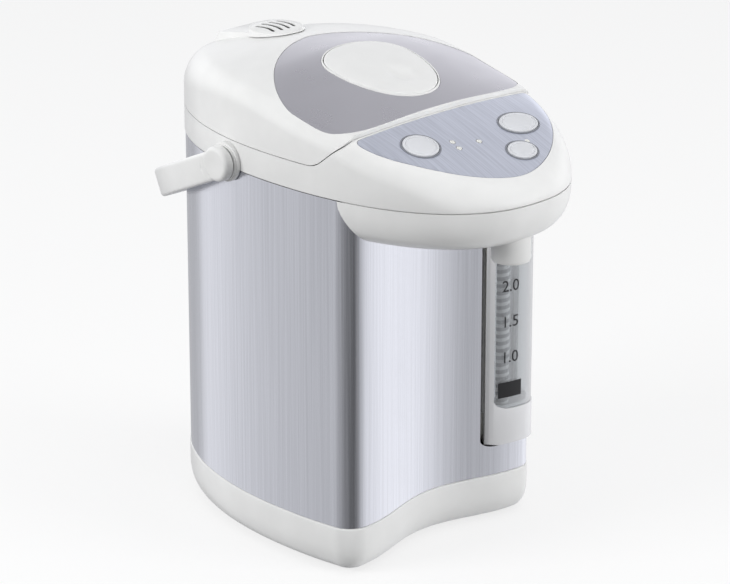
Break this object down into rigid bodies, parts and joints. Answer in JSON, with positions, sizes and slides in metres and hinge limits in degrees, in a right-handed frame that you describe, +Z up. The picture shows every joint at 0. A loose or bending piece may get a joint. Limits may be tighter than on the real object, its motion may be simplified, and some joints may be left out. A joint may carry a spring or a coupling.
{
  "type": "electric thermo pot",
  "caption": "Electric hot water dispenser with a hinged lid and lever, a beaked head with buttons and a spout, a water gauge on a front corner, a pumped container and a bail handle.",
  "frame": {"origin": "on the floor plane under the feet, in the middle of the bounding box of the whole pot", "axes": "+Z up, -Y the front where the spout is, +Y the back with the power inlet and the handle at rest, +X the side of the water gauge"},
  "size_m": [0.2088, 0.3288, 0.332],
  "materials": {
    "white_gloss": "glossy",
    "white_satin": "satin",
    "grey_plastic": "satin",
    "lid_grey": "satin metallic",
    "panel_blue_grey": "brushed",
    "jacket_steel": "vertically brushed",
    "gauge_silver": "bright",
    "steel": "plain",
    "dark_steel": "plain",
    "rubber_black": "matt",
    "silicone": "milky silicone",
    "clear_plastic": "clear",
    "board_green": "circuit board",
    "black_plastic": "satin",
    "brass": "plain",
    "felt": "fibre felt",
    "magnet_grey": "plain"
  },
  "bodies": {
    "pot_body": {"base_plinth": "white_gloss", "bottom_cover": "grey_plastic", "rubber_foot_1": "rubber_black", "rubber_foot_2": "rubber_black", "rubber_foot_3": "rubber_black", "rubber_foot_4": "rubber_black", "bottom_screw_1": "steel", "bottom_screw_2": "steel", "bottom_screw_3": "steel", "bottom_screw_4": "steel", "outer_jacket": "jacket_steel", "collar_head": "white_gloss", "hinge_pin": "steel", "beak_lower_cover": "white_gloss", "spout_nozzle": "white_satin", "control_panel": "panel_blue_grey", "light_guide": "clear_plastic", "control_board": "board_green", "gauge_frame": "gauge_silver", "gauge_pane": "clear_plastic", "gauge_tray": "white_satin", "gauge_tube": "clear_plastic", "tip_valve": "white_satin", "outlet_pipe": "silicone", "riser_hose": "silicone", "inner_container": "steel", "container_seal": "silicone", "mouth_ring": "white_satin", "insulation_sleeve": "felt", "support_frame": "white_satin", "heater_plate": "dark_steel", "thermostat": "black_plastic", "thermal_fuse": "brass", "motor_can": "steel", "pump_housing": "white_satin", "pump_cover": "white_satin", "inlet_sleeve": "silicone", "power_board": "board_green", "power_inlet": "black_plastic", "inlet_contacts": "brass", "right_handle_pivot": "white_gloss", "left_handle_pivot": "white_gloss"},
    "lid": {"lid_shell": "white_gloss", "lid_trim": "lid_grey", "vent_cap": "white_gloss", "lid_inner_cover": "white_satin", "lid_screw_1": "steel", "lid_screw_2": "steel", "inner_lid_plate": "steel", "inner_lid_gasket": "silicone", "steam_duct": "silicone", "lever_spring": "steel"},
    "lever": {"lid_lever": "white_gloss"},
    "latch": {"latch_bolt": "white_satin"},
    "handle": {"bail_handle": "white_gloss"},
    "reboil": {"reboil_button": "white_satin"},
    "dispense": {"dispense_button": "white_satin"},
    "unlock": {"unlock_button": "white_satin"},
    "motor_rotor": {"drive_rotor": "magnet_grey"},
    "impeller": {"pump_impeller": "white_satin"}
  },
  "joints": [
    {"name": "lid_hinge", "type": "hinge", "parent": "pot_body", "child": "lid", "pos_m": [0, 0.1373, 0.2865], "axis": [-1, 0, 0], "range_deg": [0, 75]},
    {"name": "lever_press", "type": "hinge", "parent": "lid", "child": "lever", "pos_m": [0, 0.0058, 0.32536], "axis": [1, 0, 0], "range_deg": [0, 4], "stiffness_Nm_per_rad": 2, "springref_deg": -3.44, "deforming": ["lever_spring"]},
    {"name": "latch_slide", "type": "slide", "parent": "lid", "child": "latch", "axis": [0, 1, 0], "range_m": [0, 0.0032]},
    {"name": "reboil_press", "type": "slide", "parent": "pot_body", "child": "reboil", "axis": [0.036, 0.3215, -0.9462], "range_m": [0, 0.0012], "stiffness_N_per_m": 900, "springref_m": -0.0012},
    {"name": "dispense_press", "type": "slide", "parent": "pot_body", "child": "dispense", "axis": [-0.0273, 0.3351, -0.9418], "range_m": [0, 0.0012], "stiffness_N_per_m": 900, "springref_m": -0.0012},
    {"name": "unlock_press", "type": "slide", "parent": "pot_body", "child": "unlock", "axis": [-0.0092, 0.3746, -0.9272], "range_m": [0, 0.0012], "stiffness_N_per_m": 900, "springref_m": -0.0012},
    {"name": "handle_swing", "type": "hinge", "parent": "pot_body", "child": "handle", "pos_m": [0, 0.0298, 0.267], "axis": [1, 0, 0], "range_deg": [0, 114]},
    {"name": "motor_spin", "type": "hinge", "parent": "pot_body", "child": "motor_rotor", "pos_m": [0.038, -0.0252, 0.03], "axis": [0, 0, 1], "continuous": true},
    {"name": "impeller_spin", "type": "hinge", "parent": "pot_body", "child": "impeller", "pos_m": [0.038, -0.0252, 0.05], "axis": [0, 0, 1], "continuous": true}
  ],
  "couplings": [
    {"joint": "latch_slide", "follows": "lever_press", "m_per_rad": 0.043},
    {"joint": "impeller_spin", "follows": "motor_spin", "ratio": 1}
  ]
}
